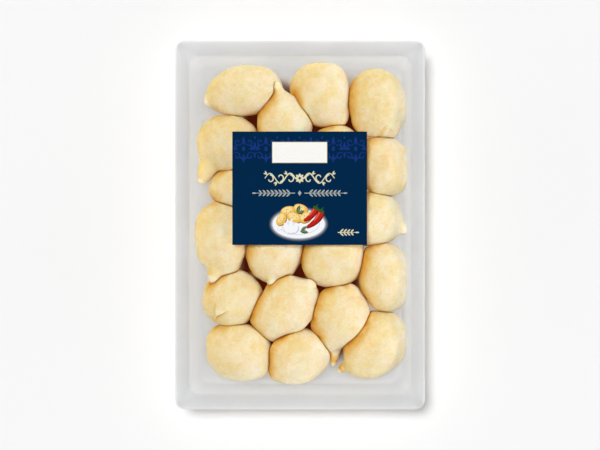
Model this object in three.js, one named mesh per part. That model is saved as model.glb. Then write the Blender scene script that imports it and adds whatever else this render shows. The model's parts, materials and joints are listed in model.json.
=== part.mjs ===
// Sealed pack of potato gnocchi: a single layer of large filled, pinched
// dumplings in a shallow milky plastic tray, closed by a clear film that
// carries a small paper label.  Millimetres, +Z up, origin under the centre
// of the tray's base, +Y along the tray's long side.
import * as THREE from 'three';
import { mergeVertices } from 'three/addons/utils/BufferGeometryUtils.js';

// ------------------------------------------------------------ dimensions --
const TRAY_W = 148.5;        // over the flange, across
const TRAY_L = 219.0;        // over the flange, along
const TRAY_H = 32.6;         // top of the flange above the table
const WALL = 0.8;            // wall, floor and flange thickness
const DRAFT = Math.tan(THREE.MathUtils.degToRad(6));  // slope of the walls
const OPEN_W = 131.2;        // opening at the top of the flange
const OPEN_L = 200.4;
const RIM_R = 1.4;           // rounded shoulder of the flange
const LIP_H = 2.4;           // height of its turned-down edge
const EDGE_R = 1.6;          // rounding where the flange turns into the wall
const FLOOR_R = 4.0;         // inside rounding between wall and floor
const FLANGE_CORNER = 6.0;   // corner radii in plan
const OPEN_CORNER = 5.5;
const BASE_CORNER = 9.0;
const CORNER_SEGS = 5;

const GAP = 0.3;             // clearance between neighbouring pieces

const FILM_T = 0.3;          // lidding film, laid on the flange
const FILM_IN = 1.7;         // how far it stays inside the flange's edge
const FILM_CORNER = 4.5;

const LABEL_W = 79.8;        // paper label on the film
const LABEL_L = 67.2;
const LABEL_T = 0.2;
const LABEL_X = -0.2;
const LABEL_Y = 21.8;

// One row per dumpling: centre x, y; half length, half width, half height;
// direction of the long axis (degrees from +X); egg shape (how much narrower
// the far end is); lift of the centre; and its pinched ends, each as
// [direction in plan, elevation, height (below 0: a hollow), angular width].
const DUMPLINGS = [
  [ -33.2,   81.0,  23.5,  15.7,  14.3,   11,  0.03,   0.0, [[197, -4, 2.6, 11]]],
  [  12.4,   79.1,  19.6,  18.4,  14.6,   97, -0.03,   0.0, [[-50, 0, 4.8, 20], [222, 0, -3.0, 22]]],
  [  46.8,   73.3,  21.7,  17.8,  14.6,  104, -0.05,   0.0, [[-64, 14, 2.6, 15], [-16, 0, 1.2, 22], [236, 0, 2.4, 26]]],
  [  -9.3,   62.1,  18.1,  17.5,  14.2,   95,  0.05,   1.0, [[101, 20, 4.6, 7.5], [100, 14, 3.4, 21], [36, 0, 3.0, 24], [78, 0, -4.4, 17]]],
  [ -43.6,   49.4,  18.7,  17.6,  14.2,  150,  0.00,   0.0, [[232, 1, 8.0, 15], [238, 1, 4.5, 9], [212, 0, 2.0, 20], [40, 0, 0.8, 21]]],
  [  20.1,   43.8,  18.1,  16.3,  14.0,   20,  0.00,   0.0, []],
  [  51.6,   34.7,  18.8,  16.3,  14.2,   84,  0.00,   0.0, [[124, 0, 3.4, 20]]],
  [ -39.7,   22.8,  15.4,  13.5,  12.8,   10,  0.00,  -0.4, []],
  [  44.9,    3.9,  17.2,  16.6,  13.8,  120,  0.00,   0.0, [[-20, 12, 4.6, 10], [-16, 6, 1.6, 24]]],
  [ -10.3,   25.1,  17.5,  18.7,  14.0,   10,  0.00,   0.0, []],
  [ -47.4,   -8.4,  22.9,  16.6,  14.4,   92, -0.02,   0.3, [[258, 14, 6.4, 10], [244, 0, -1.6, 14], [-82, 0, 2.6, 22], [-48, 0, -1.6, 16]]],
  [ -15.7,  -16.0,  19.3,  17.5,  14.2,   84,  0.00,   0.2, [[266, 20, 3.0, 9]]],
  [  19.9,  -18.4,  20.2,  19.6,  14.6,   84,  0.00,   0.0, []],
  [  51.0,  -31.1,  22.0,  16.6,  14.4,   97,  0.00,   0.0, []],
  [ -41.1,  -44.4,  18.1,  17.8,  14.2,   40,  0.00,   0.0, [[12, 0, 1.2, 24]]],
  [  -9.1,  -49.2,  23.2,  19.0,  14.6,   40,  0.00,   0.0, [[42, 14, 1.6, 9], [66, 0, -2.8, 18], [150, 0, -3.2, 22], [-40, 0, -3.4, 17], [26, 0, -0.8, 14]]],
  [  24.7,  -55.2,  19.9,  18.4,  14.4,  110,  0.00,   0.4, [[261.5, -2, 9.2, 6], [252, 0, 3.2, 22], [282, 0, -1.6, 16], [67, 12, 2.4, 14], [38, 0, 1.6, 20], [222, 0, 2.2, 20], [-48, 0, 2.8, 20]]],
  [ -36.8,  -76.4,  20.2,  17.8,  14.2,  170,  0.00,   0.0, [[143, 0, 1.8, 24], [-40, 0, 1.8, 20], [8, 0, 0.8, 20]]],
  [  -0.9,  -78.8,  19.0,  17.5,  14.2,   12,  0.08,   0.0, [[152, 0, -2.0, 20], [218, 0, 2.8, 20], [30, 0, -2.4, 18]]],
  [  44.7,  -72.1,  23.2,  19.0,  14.4,   42,  0.04,   0.0, [[201, 0, -3.0, 14], [216, -5, 4.6, 7], [180, 0, -2.6, 22]]],
  [  18.7,   13.6,  17.2,  16.3,  13.6,   10,  0.00,   0.0, []],
];
const SETTLE = 0.955;        // a dumpling sinks this much onto its soft base
const POWER = 2.15;          // roundness of the dough (2 = ellipsoid)
const SOFT = 14;             // how tightly edges round off at a contact
const CONTACT = 0.026;       // clearance at a contact, as a share of the size
const DETAIL = 3;            // mesh steps; a dumpling with a nub gets one more
const NARROW = 20;           // an end narrower than this many degrees is a nub

// ------------------------------------------------------------- materials --
const material = (name, color, roughness, more = {}) =>
  new THREE.MeshStandardMaterial({ name, color, roughness, metalness: 0, ...more });
const milky = material('tray', 0xdcdcdc, 0.4);
const clear = material('film', 0xf4f6f6, 0.08, { transparent: true, opacity: 0.15 });
const navy = material('label', 0x03264a, 0.45);
const doughs = ['dough', 0xf0dca8, 0.85];

const part = new THREE.Group();
function add(name, geometry, mat) {
  const mesh = new THREE.Mesh(geometry, mat);
  mesh.name = name;
  part.add(mesh);
  return mesh;
}

// ------------------------------------------------------------------ tray --
// A ring is a rounded rectangle, half sizes hx, hy and corner radius r, at z.
function ringPoints({ hx, hy, r, z }) {
  const pts = [];
  for (let q = 0; q < 4; q++) {
    const sx = q === 0 || q === 3 ? 1 : -1;
    const sy = q < 2 ? 1 : -1;
    for (let i = 0; i <= CORNER_SEGS; i++) {
      const a = (q + i / CORNER_SEGS) * Math.PI / 2;
      pts.push([sx * (hx - r) + r * Math.cos(a), sy * (hy - r) + r * Math.sin(a), z]);
    }
  }
  return pts;
}

// Closed body through a list of rings, with a flat fan at each end.
function loft(rings) {
  const n = 4 * (CORNER_SEGS + 1);
  const pos = [];
  const idx = [];
  for (const ring of rings) for (const p of ringPoints(ring)) pos.push(...p);
  for (let k = 0; k + 1 < rings.length; k++) {
    for (let i = 0; i < n; i++) {
      const a = k * n + i;
      const b = k * n + (i + 1) % n;
      idx.push(a, b, b + n, a, b + n, a + n);
    }
  }
  const first = pos.length / 3;
  pos.push(0, 0, rings[0].z);
  const last = first + 1;
  pos.push(0, 0, rings[rings.length - 1].z);
  const off = (rings.length - 1) * n;
  for (let i = 0; i < n; i++) {
    idx.push(first, (i + 1) % n, i);
    idx.push(last, off + i, off + (i + 1) % n);
  }
  const g = new THREE.BufferGeometry();
  g.setAttribute('position', new THREE.Float32BufferAttribute(pos, 3));
  g.setIndex(idx);
  return g;
}

const lerp = (a, b, t) => a + (b - a) * t;
const openHx = OPEN_W / 2;
const openHy = OPEN_L / 2;
const rimHx = TRAY_W / 2;
const rimHy = TRAY_L / 2;

// Rings of the inner wall face at height z, moved by d towards the outside.
function wallRing(z, d, zAt = z) {
  const down = TRAY_H - z;
  const r = lerp(OPEN_CORNER, BASE_CORNER, down / TRAY_H);
  return {
    hx: openHx - down * DRAFT + d,
    hy: openHy - down * DRAFT + d,
    r: Math.max(r + d, 1.5),
    z: zAt,
  };
}
// Rings of the flange, measured inward from its outer edge.
function rimRing(e, z) {
  return { hx: rimHx - e, hy: rimHy - e, r: Math.max(FLANGE_CORNER - e, 1.5), z };
}

function trayRings() {
  const rings = [];
  const steps = 4;
  // outside, from the base up: base rounding, wall, underside of the flange
  const R = FLOOR_R + WALL;
  for (let i = 0; i <= steps; i++) {
    const a = (i / steps) * Math.PI / 2;
    const z = R * (1 - Math.cos(a));
    rings.push(wallRing(R, WALL - R * (1 - Math.sin(a)) - (R - z) * DRAFT * 0.4, z));
  }
  rings.push(wallRing(TRAY_H - WALL - 1.0, WALL));
  rings.push(wallRing(TRAY_H, WALL + 0.9, TRAY_H - WALL));
  // the flange's underside, its turned-down lip and its rounded shoulder
  rings.push(rimRing(RIM_R, TRAY_H - WALL));
  rings.push(rimRing(WALL, TRAY_H - WALL - 0.6));
  rings.push(rimRing(WALL, TRAY_H - LIP_H));
  rings.push(rimRing(0, TRAY_H - LIP_H));
  for (let i = 0; i <= steps; i++) {
    const a = (i / steps) * Math.PI / 2;
    rings.push(rimRing(RIM_R * (1 - Math.cos(a)), TRAY_H - RIM_R * (1 - Math.sin(a))));
  }
  // over the inner edge and down the inside wall to the floor
  for (let i = 0; i <= steps; i++) {
    const a = (i / steps) * Math.PI / 2;
    rings.push(wallRing(TRAY_H, EDGE_R * (1 - Math.sin(a)), TRAY_H - EDGE_R * (1 - Math.cos(a))));
  }
  for (let i = 0; i <= steps; i++) {
    const a = (i / steps) * Math.PI / 2;
    const z = WALL + FLOOR_R * (1 - Math.sin(a));
    rings.push(wallRing(WALL + FLOOR_R, -FLOOR_R * (1 - Math.cos(a)) - (WALL + FLOOR_R - z) * DRAFT * 0.4, z));
  }
  return rings;
}
add('tray', loft(trayRings()), milky);

// ------------------------------------------------------- film and label --
function roundedPlate(hx, hy, r, thickness) {
  const s = new THREE.Shape();
  s.moveTo(-hx + r, -hy);
  s.lineTo(hx - r, -hy);
  s.absarc(hx - r, -hy + r, r, -Math.PI / 2, 0);
  s.lineTo(hx, hy - r);
  s.absarc(hx - r, hy - r, r, 0, Math.PI / 2);
  s.lineTo(-hx + r, hy);
  s.absarc(-hx + r, hy - r, r, Math.PI / 2, Math.PI);
  s.lineTo(-hx, -hy + r);
  s.absarc(-hx + r, -hy + r, r, Math.PI, 1.5 * Math.PI);
  return new THREE.ExtrudeGeometry(s, { depth: thickness, bevelEnabled: false, curveSegments: CORNER_SEGS });
}
const film = add('film', roundedPlate(rimHx - FILM_IN, rimHy - FILM_IN, FILM_CORNER, FILM_T), clear);
film.position.set(0, 0, TRAY_H + GAP);

const label = add('label', new THREE.BoxGeometry(LABEL_W, LABEL_L, LABEL_T), navy);
label.position.set(LABEL_X, LABEL_Y, TRAY_H + GAP + FILM_T + GAP + LABEL_T / 2);

// ------------------------------------------------------------- dumplings --
const rad = THREE.MathUtils.degToRad;
const floorZ = WALL + GAP;

const blobs = DUMPLINGS.map(([x, y, a, b, c, rot, egg, lift, tips], i) => ({
  id: i + 1,
  centre: new THREE.Vector3(x, y, floorZ + c * SETTLE + lift),
  a, b, c, egg,
  cos: Math.cos(rad(rot)),
  sin: Math.sin(rad(rot)),
  tips: tips.map(([az, el, h, w]) => ({
    dir: new THREE.Vector3(Math.cos(rad(el)) * Math.cos(rad(az)), Math.cos(rad(el)) * Math.sin(rad(az)), Math.sin(rad(el))),
    h, w: rad(w), narrow: w < NARROW,
  })),
}));

// Free radius of a dumpling in direction u: an egg, gently lumpy, with its
// pinched ends.
function radius(g, u) {
  const ux = u.x * g.cos + u.y * g.sin;
  const uy = -u.x * g.sin + u.y * g.cos;
  const q = 1 - g.egg * ux;
  let r = (Math.abs(ux / g.a) ** POWER + Math.abs(uy / (g.b * q)) ** POWER
    + Math.abs(u.z / (g.c * (0.5 + 0.5 * q))) ** POWER) ** (-1 / POWER);
  r += 0.30 * Math.sin(3.3 * u.x + 2.1 * u.y + 1.9 * g.id)
    + 0.28 * Math.sin(3.9 * u.y - 2.7 * u.z + 2.7 * g.id)
    + 0.20 * Math.sin(5.6 * u.x - 4.7 * u.y + 3.1 * u.z + 0.7 * g.id);
  for (const t of g.tips) {
    const angle = Math.acos(THREE.MathUtils.clamp(u.dot(t.dir), -1, 1));
    r += t.h * Math.exp(-((angle / t.w) ** (t.narrow ? 3 : 2)));
  }
  return r;
}

// Where the ray from g in direction u meets the neighbour o: the point that
// is equally deep in both, less the clearance.
const tmp = new THREE.Vector3();
function meets(g, u, r, o) {
  const f = (t) => {
    tmp.copy(u).multiplyScalar(t).add(g.centre).sub(o.centre);
    const d = tmp.length();
    tmp.multiplyScalar(1 / Math.max(d, 1e-6));
    return t / r + CONTACT - d / radius(o, tmp);
  };
  const steps = 14;
  let lo = 0;
  for (let k = 1; k <= steps; k++) {
    let hi = r * 1.75 * k / steps;
    if (f(hi) > 0) {
      for (let j = 0; j < 14; j++) {
        const mid = (lo + hi) / 2;
        if (f(mid) > 0) hi = mid; else lo = mid;
      }
      return (lo + hi) / 2;
    }
    lo = hi;
  }
  return Infinity;
}

function pressedRadius(g, u) {
  const free = radius(g, u);
  let sum = free ** -SOFT;
  for (const o of blobs) {
    if (o === g) continue;
    tmp.copy(o.centre).sub(g.centre);
    const dist = tmp.length();
    if (dist > 1.25 * (Math.max(g.a, g.b) + Math.max(o.a, o.b)) + 8) continue;
    if (u.dot(tmp) / dist < -0.1) continue;
    const t = meets(g, u, free, o);
    if (t < Infinity) sum += t ** -SOFT;
  }
  // the tray's four sloping walls
  const down = (TRAY_H - g.centre.z) * DRAFT + GAP + 0.1;
  for (const [nx, ny, reach] of [[1, 0, openHx - g.centre.x], [-1, 0, openHx + g.centre.x],
    [0, 1, openHy - g.centre.y], [0, -1, openHy + g.centre.y]]) {
    const closing = nx * u.x + ny * u.y - u.z * DRAFT;
    if (closing > 1e-3) sum += ((reach - down) / closing) ** -SOFT;
  }
  // and its floor
  if (u.z < -1e-3) sum += ((g.centre.z - floorZ) / -u.z) ** -SOFT;
  return sum ** (-1 / SOFT);
}

for (const g of blobs) {
  const nubs = g.tips.filter((t) => t.narrow && t.h > 0);
  let geo = new THREE.IcosahedronGeometry(1, nubs.length ? DETAIL + 1 : DETAIL);
  geo.deleteAttribute('normal');
  geo.deleteAttribute('uv');
  geo = mergeVertices(geo, 1e-4);
  const pos = geo.attributes.position;
  const u = new THREE.Vector3();
  const dirs = [];
  for (let i = 0; i < pos.count; i++) dirs.push(new THREE.Vector3().fromBufferAttribute(pos, i).normalize());
  // put a vertex on the point of each pinched end
  for (const t of nubs) {
    let best = 0;
    dirs.forEach((d, i) => { if (d.dot(t.dir) > dirs[best].dot(t.dir)) best = i; });
    dirs[best].copy(t.dir);
  }
  dirs.forEach((d, i) => {
    u.copy(d);
    const r = pressedRadius(g, u);
    pos.setXYZ(i, g.centre.x + d.x * r, g.centre.y + d.y * r, g.centre.z + d.z * r);
  });
  geo.computeVertexNormals();
  add(`gnocco_${String(g.id).padStart(2, '0')}`, geo, material(...doughs));
}

export default part;
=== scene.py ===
import json
import math

import bpy
import numpy as np
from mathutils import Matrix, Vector
from mathutils.geometry import delaunay_2d_cdt

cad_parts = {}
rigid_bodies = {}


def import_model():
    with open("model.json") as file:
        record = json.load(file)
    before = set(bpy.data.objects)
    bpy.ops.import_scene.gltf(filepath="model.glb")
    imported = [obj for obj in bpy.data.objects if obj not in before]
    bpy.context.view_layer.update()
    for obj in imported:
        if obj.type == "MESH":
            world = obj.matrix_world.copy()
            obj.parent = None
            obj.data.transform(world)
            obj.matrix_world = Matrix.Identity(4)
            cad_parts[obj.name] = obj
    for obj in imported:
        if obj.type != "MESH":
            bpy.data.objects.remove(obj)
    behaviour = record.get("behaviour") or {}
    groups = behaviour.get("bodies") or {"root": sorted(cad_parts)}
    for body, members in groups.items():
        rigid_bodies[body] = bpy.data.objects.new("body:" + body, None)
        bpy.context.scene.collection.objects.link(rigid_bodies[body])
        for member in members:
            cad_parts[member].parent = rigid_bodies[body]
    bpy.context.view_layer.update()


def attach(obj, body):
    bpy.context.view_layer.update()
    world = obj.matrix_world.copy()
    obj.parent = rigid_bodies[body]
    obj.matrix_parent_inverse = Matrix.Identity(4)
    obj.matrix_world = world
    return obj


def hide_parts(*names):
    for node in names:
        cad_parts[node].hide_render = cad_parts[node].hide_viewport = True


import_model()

# Lengths below are in millimetres, as in the construction, and become metres
# when a mesh is made.
MM = 0.001
TRAY_W, TRAY_L, TRAY_H, WALL = 148.5, 219.0, 32.6, 0.8
DRAFT = math.tan(math.radians(6))
OPEN_W, OPEN_L = 131.2, 200.4
RIM_R, LIP_H, EDGE_R, FLOOR_R = 1.4, 2.4, 1.6, 4.0
FLANGE_CORNER, OPEN_CORNER, BASE_CORNER = 6.0, 5.5, 9.0
GAP = 0.3
FILM_T, FILM_IN, FILM_CORNER = 0.3, 1.7, 4.5
LABEL_W, LABEL_L, LABEL_X, LABEL_Y = 79.8, 67.2, -0.2, 21.8

# One row per dumpling, as in the construction: centre, half sizes, direction
# of the long axis, egg shape, lift, pinched ends.
DUMPLINGS = [
  [ -33.2,   81.0,  23.5,  15.7,  14.3,   11,  0.03,   0.0, [[197, -4, 2.6, 11]]],
  [  12.4,   79.1,  19.6,  18.4,  14.6,   97, -0.03,   0.0, [[-50, 0, 4.8, 20], [222, 0, -3.0, 22]]],
  [  46.8,   73.3,  21.7,  17.8,  14.6,  104, -0.05,   0.0, [[-64, 14, 2.6, 15], [-16, 0, 1.2, 22], [236, 0, 2.4, 26]]],
  [  -9.3,   62.1,  18.1,  17.5,  14.2,   95,  0.05,   1.0, [[101, 20, 4.6, 7.5], [100, 14, 3.4, 21], [36, 0, 3.0, 24], [78, 0, -4.4, 17]]],
  [ -43.6,   49.4,  18.7,  17.6,  14.2,  150,  0.00,   0.0, [[232, 1, 8.0, 15], [238, 1, 4.5, 9], [212, 0, 2.0, 20], [40, 0, 0.8, 21]]],
  [  20.1,   43.8,  18.1,  16.3,  14.0,   20,  0.00,   0.0, []],
  [  51.6,   34.7,  18.8,  16.3,  14.2,   84,  0.00,   0.0, [[124, 0, 3.4, 20]]],
  [ -39.7,   22.8,  15.4,  13.5,  12.8,   10,  0.00,  -0.4, []],
  [  44.9,    3.9,  17.2,  16.6,  13.8,  120,  0.00,   0.0, [[-20, 12, 4.6, 10], [-16, 6, 1.6, 24]]],
  [ -10.3,   25.1,  17.5,  18.7,  14.0,   10,  0.00,   0.0, []],
  [ -47.4,   -8.4,  22.9,  16.6,  14.4,   92, -0.02,   0.3, [[258, 14, 6.4, 10], [244, 0, -1.6, 14], [-82, 0, 2.6, 22], [-48, 0, -1.6, 16]]],
  [ -15.7,  -16.0,  19.3,  17.5,  14.2,   84,  0.00,   0.2, [[266, 20, 3.0, 9]]],
  [  19.9,  -18.4,  20.2,  19.6,  14.6,   84,  0.00,   0.0, []],
  [  51.0,  -31.1,  22.0,  16.6,  14.4,   97,  0.00,   0.0, []],
  [ -41.1,  -44.4,  18.1,  17.8,  14.2,   40,  0.00,   0.0, [[12, 0, 1.2, 24]]],
  [  -9.1,  -49.2,  23.2,  19.0,  14.6,   40,  0.00,   0.0, [[42, 14, 1.6, 9], [66, 0, -2.8, 18], [150, 0, -3.2, 22], [-40, 0, -3.4, 17], [26, 0, -0.8, 14]]],
  [  24.7,  -55.2,  19.9,  18.4,  14.4,  110,  0.00,   0.4, [[261.5, -2, 9.2, 6], [252, 0, 3.2, 22], [282, 0, -1.6, 16], [67, 12, 2.4, 14], [38, 0, 1.6, 20], [222, 0, 2.2, 20], [-48, 0, 2.8, 20]]],
  [ -36.8,  -76.4,  20.2,  17.8,  14.2,  170,  0.00,   0.0, [[143, 0, 1.8, 24], [-40, 0, 1.8, 20], [8, 0, 0.8, 20]]],
  [  -0.9,  -78.8,  19.0,  17.5,  14.2,   12,  0.08,   0.0, [[152, 0, -2.0, 20], [218, 0, 2.8, 20], [30, 0, -2.4, 18]]],
  [  44.7,  -72.1,  23.2,  19.0,  14.4,   42,  0.04,   0.0, [[201, 0, -3.0, 14], [216, -5, 4.6, 7], [180, 0, -2.6, 22]]],
  [  18.7,   13.6,  17.2,  16.3,  13.6,   10,  0.00,   0.0, []],
]
SETTLE, POWER, SOFT, CONTACT, NARROW = 0.955, 2.06, 54, 0.003, 20
FLOOR_Z = WALL + GAP
# Shallow marks that fingers and neighbours left: per dumpling, each as
# [direction in plan, elevation, depth (minus) or height, angular width].
MARKS = {
  1: [[150, 60, -0.5, 16], [330, 50, -0.4, 14]],
  2: [[200, 62, -0.5, 18], [60, 55, -0.45, 15]],
  3: [[250, 60, -0.7, 17], [20, 50, -0.5, 15], [-70, 22, -1.2, 7]],
  4: [[100, 55, 0.5, 15], [240, 60, -0.4, 16]],
  7: [[150, 60, -0.6, 16], [-40, 60, -0.5, 18]],
  9: [[10, 55, -0.6, 16], [120, 60, -0.4, 16]],
  11: [[70, 50, -0.5, 15], [-60, 60, -0.5, 18], [180, 45, 0.4, 14]],
  12: [[-80, 60, 0.4, 14], [40, 50, -0.4, 16]],
  13: [[-60, 60, -0.5, 16], [100, 60, -0.4, 20]],
  14: [[170, 60, -0.6, 16], [-70, 55, -0.5, 16]],
  15: [[60, 60, -0.4, 18]],
  16: [[30, 65, -0.5, 16], [210, 55, 0.4, 15], [120, 50, -0.35, 14]],
  17: [[80, 60, -0.4, 16], [-100, 50, 0.4, 13]],
  18: [[30, 62, -0.4, 17], [200, 60, -0.45, 16]],
  19: [[20, 55, 0.4, 14], [170, 62, -0.4, 17]],
  20: [[60, 60, -0.5, 18], [230, 50, -0.4, 14]],
}


# Pinched folds and creases on the tops: per dumpling, segments in plan as
# [x0, y0, x1, y1, height (ridge) or depth (minus), width].
FOLDS = {
  3: [[51.6, 59.4, 46.4, 52.4, -0.65, 0.9], [53.0, 58.6, 48.4, 52.2, 0.5, 1.3], [52.4, 76.5, 51.6, 66.5, -0.55, 3.0]],
  7: [[55.0, 43.6, 57.0, 32.0, -0.60, 1.8], [58.2, 44.0, 60.0, 33.0, 0.40, 2.0], [48.6, 39.4, 51.0, 30.6, -0.30, 3.2]],
  15: [[-53.0, -50.0, -52.6, -56.0, -0.25, 1.6]],
}
# Flaps pinched over the top, free along two edges: per dumpling, each as
# [apex x, y, directions of the two edges, height, reach].
FLAPS = {15: [[-49.9, -54.7, 28, 92, 1.8, 9.5]]}
# Paler (above 0) or yellower (below 0) dough.
TONES = {1: 0.1, 2: 0.0, 3: -0.7, 4: 0.7, 5: -0.5, 7: 0.1, 9: 0.5, 11: -0.1, 12: 0.6, 13: 0.0, 14: -0.1,
         15: -0.5, 16: 0.5, 17: 0.0, 18: -0.1, 19: 0.6, 20: -0.6}
# How far back from its end a pinch is paler, and how far the painted amber shade on the neck behind it reaches.
PALE_END, NECK = {5: 3.0, 12: 4.0, 17: 2.2, 20: 1.5}, {17: 8.0, 20: 5.0}


# --------------------------------------------------------------- helpers --
def make_object(name, verts, faces, material, smooth=True):
    """A mesh object from vertices in millimetres."""
    mesh = bpy.data.meshes.new(name)
    mesh.from_pydata([tuple(v) for v in np.asarray(verts) * MM], [], [tuple(int(i) for i in f) for f in faces])
    mesh.update()
    if smooth:
        mesh.polygons.foreach_set("use_smooth", [True] * len(mesh.polygons))
    if material:
        mesh.materials.append(material)
    ob = bpy.data.objects.new(name, mesh)
    bpy.context.scene.collection.objects.link(ob)
    return ob


def point_value(ob, name, values):
    attr = ob.data.attributes.new(name, "FLOAT", "POINT")
    attr.data.foreach_set("value", np.asarray(values, np.float32))


def hash3(i, j, k, seed):
    h = (i.astype(np.int64) * 374761393 + j.astype(np.int64) * 668265263
         + k.astype(np.int64) * 2147483647 + seed * 974634777) & 0xFFFFFFFF
    h = ((h ^ (h >> 13)) * 1274126177) & 0xFFFFFFFF
    h = ((h ^ (h >> 16)) * 2246822519) & 0xFFFFFFFF
    return h ^ (h >> 15)


def noise3(p, seed=0):
    """Smooth gradient noise, about -1 to 1, at points p."""
    c = np.floor(p).astype(np.int64)
    f = p - c
    w = f * f * f * (f * (f * 6 - 15) + 10)
    total = np.zeros(len(p))
    for dx in (0, 1):
        for dy in (0, 1):
            for dz in (0, 1):
                h = hash3(c[:, 0] + dx, c[:, 1] + dy, c[:, 2] + dz, seed)
                g = np.stack([(h & 1023), ((h >> 10) & 1023), ((h >> 20) & 1023)], 1) / 511.5 - 1
                d = (g * (f - [dx, dy, dz])).sum(1)
                total += d * (w[:, 0] if dx else 1 - w[:, 0]) * (w[:, 1] if dy else 1 - w[:, 1]) * (w[:, 2] if dz else 1 - w[:, 2])
    return total * 1.4


def icosphere(steps):
    """Directions and triangles of an evenly divided icosahedron."""
    t = (1 + 5 ** 0.5) / 2
    v = np.array([(-1, t, 0), (1, t, 0), (-1, -t, 0), (1, -t, 0), (0, -1, t), (0, 1, t),
                  (0, -1, -t), (0, 1, -t), (t, 0, -1), (t, 0, 1), (-t, 0, -1), (-t, 0, 1)], float)
    f = [(0, 11, 5), (0, 5, 1), (0, 1, 7), (0, 7, 10), (0, 10, 11), (1, 5, 9), (5, 11, 4), (11, 10, 2), (10, 7, 6), (7, 1, 8),
         (3, 9, 4), (3, 4, 2), (3, 2, 6), (3, 6, 8), (3, 8, 9), (4, 9, 5), (2, 4, 11), (6, 2, 10), (8, 6, 7), (9, 8, 1)]
    verts, seen, faces = [], {}, []
    for a, b, c in f:
        grid = {}
        for i in range(steps + 1):
            for j in range(steps + 1 - i):
                p = (v[a] * (steps - i - j) + v[b] * i + v[c] * j) / steps
                key = tuple(np.round(p, 6))
                if key not in seen:
                    seen[key] = len(verts)
                    verts.append(p)
                grid[i, j] = seen[key]
        for i in range(steps):
            for j in range(steps - i):
                faces.append((grid[i, j], grid[i + 1, j], grid[i, j + 1]))
                if i + j < steps - 1:
                    faces.append((grid[i + 1, j], grid[i + 1, j + 1], grid[i, j + 1]))
    verts = np.array(verts)
    return verts / np.linalg.norm(verts, axis=1)[:, None], faces


# -------------------------------------------------------------- dumplings --
class Blob:
    def __init__(self, number, row):
        x, y, self.a, self.b, self.c, rot, self.egg, lift, tips = row
        self.a, self.b = self.a * 0.985, self.b * 0.985
        self.id = number
        self.centre = np.array([x, y, FLOOR_Z + self.c * SETTLE + lift])
        self.cos, self.sin = math.cos(math.radians(rot)), math.sin(math.radians(rot))
        self.tips = [(direction(az, el), h, math.radians(w), w < NARROW) for az, el, h, w in tips]
        self.pale = [w < 14 and h > 0 for az, el, h, w in tips]


def direction(az, el):
    az, el = math.radians(az), math.radians(el)
    return np.array([math.cos(el) * math.cos(az), math.cos(el) * math.sin(az), math.sin(el)])


def radius(g, u):
    """Free radius in direction u: an egg, gently lumpy, with pinched ends."""
    ux = u[:, 0] * g.cos + u[:, 1] * g.sin
    uy = -u[:, 0] * g.sin + u[:, 1] * g.cos
    q = 1 - g.egg * ux
    r = (np.abs(ux / g.a) ** POWER + np.abs(uy / (g.b * q)) ** POWER
         + np.abs(u[:, 2] / (g.c * (0.5 + 0.5 * q))) ** POWER) ** (-1 / POWER)
    r += (0.30 * np.sin(3.3 * u[:, 0] + 2.1 * u[:, 1] + 1.9 * g.id)
          + 0.28 * np.sin(3.9 * u[:, 1] - 2.7 * u[:, 2] + 2.7 * g.id)
          + 0.20 * np.sin(5.6 * u[:, 0] - 4.7 * u[:, 1] + 3.1 * u[:, 2] + 0.7 * g.id))
    for t, h, w, narrow in g.tips:
        angle = np.arccos(np.clip(u @ t, -1, 1))
        r += h * np.exp(-(angle / w) ** (3 if narrow else 2))
    return r


def depth_difference(g, o, u, r, t):
    p = g.centre + u * t[:, None] - o.centre
    d = np.linalg.norm(p, axis=1)
    return t / r + CONTACT - d / radius(o, p / np.maximum(d, 1e-6)[:, None])


def pressed_radius(g, u, blobs):
    """Radius after pressing against the neighbours, the walls and the floor,
    and how far inside its free shape each point was pushed."""
    free = radius(g, u)
    total = free ** -SOFT
    for o in blobs:
        if o is g:
            continue
        way = o.centre - g.centre
        dist = np.linalg.norm(way)
        if dist > 1.25 * (max(g.a, g.b) + max(o.a, o.b)) + 8:
            continue
        at = np.flatnonzero(u @ (way / dist) > -0.1)
        uu, rr = u[at], free[at]
        low, high = np.zeros(len(at)), np.zeros(len(at))
        found, before, steps = np.zeros(len(at), bool), np.zeros(len(at)), 14
        for k in range(1, steps + 1):
            t = rr * 1.75 * k / steps
            new = ~found & (depth_difference(g, o, uu, rr, t) > 0)
            high[new], low[new] = t[new], before[new]
            found |= new
            before = t
        if not found.any():
            continue
        hit = np.flatnonzero(found)
        low, high, uu, rr = low[hit], high[hit], uu[hit], rr[hit]
        for _ in range(11):
            mid = (low + high) / 2
            past = depth_difference(g, o, uu, rr, mid) > 0
            high, low = np.where(past, mid, high), np.where(past, low, mid)
        total[at[hit]] += ((low + high) / 2) ** -SOFT
    down = (TRAY_H - g.centre[2]) * DRAFT + GAP + 0.1
    for nx, ny, reach in ((1, 0, OPEN_W / 2 - g.centre[0]), (-1, 0, OPEN_W / 2 + g.centre[0]),
                          (0, 1, OPEN_L / 2 - g.centre[1]), (0, -1, OPEN_L / 2 + g.centre[1])):
        closing = nx * u[:, 0] + ny * u[:, 1] - u[:, 2] * DRAFT
        ok = closing > 1e-3
        total[ok] += ((reach - down) / closing[ok]) ** -SOFT
    ok = u[:, 2] < -1e-3
    total[ok] += ((g.centre[2] - FLOOR_Z) / -u[ok, 2]) ** -SOFT
    return total ** (-1 / SOFT), free


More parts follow.
